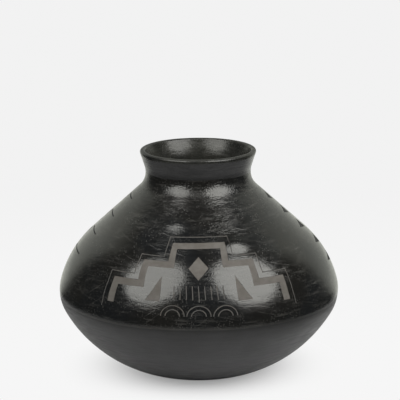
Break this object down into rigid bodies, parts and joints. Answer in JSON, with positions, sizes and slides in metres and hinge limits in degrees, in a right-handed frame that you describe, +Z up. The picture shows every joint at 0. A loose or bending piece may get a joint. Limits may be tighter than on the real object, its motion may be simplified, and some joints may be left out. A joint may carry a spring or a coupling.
{
  "type": "pueblo pottery jar",
  "caption": "Low-shouldered coil-built clay jar with a drawn-in neck and flared rim, black with a burnished shoulder and mouth over a matte bowl, for holding water or grain.",
  "frame": {"origin": "centre of the flat face that the jar stands on", "axes": "+Z up along the jar's axis; the pictured side faces -Y"},
  "size_m": [0.25, 0.25, 0.2],
  "materials": {
    "clay": "unglazed, scraped, fired dark grey",
    "matte_slip": "matte unburnished slip, smoked grey-black",
    "polished_slip": "stone-burnished slip, smoked black"
  },
  "bodies": {
    "root": {"moulded_base": "clay", "bowl_coil_1": "clay", "bowl_coil_2": "clay", "bowl_coil_3": "clay", "belly_coil": "clay", "shoulder_coil_1": "clay", "shoulder_coil_2": "clay", "shoulder_coil_3": "clay", "shoulder_coil_4": "clay", "shoulder_coil_5": "clay", "neck_coil": "clay", "rim_coil": "clay", "matte_bowl_slip": "matte_slip", "matte_neck_slip": "matte_slip", "polished_shoulder_slip": "polished_slip", "polished_mouth_slip": "polished_slip"}
  },
  "joints": []
}
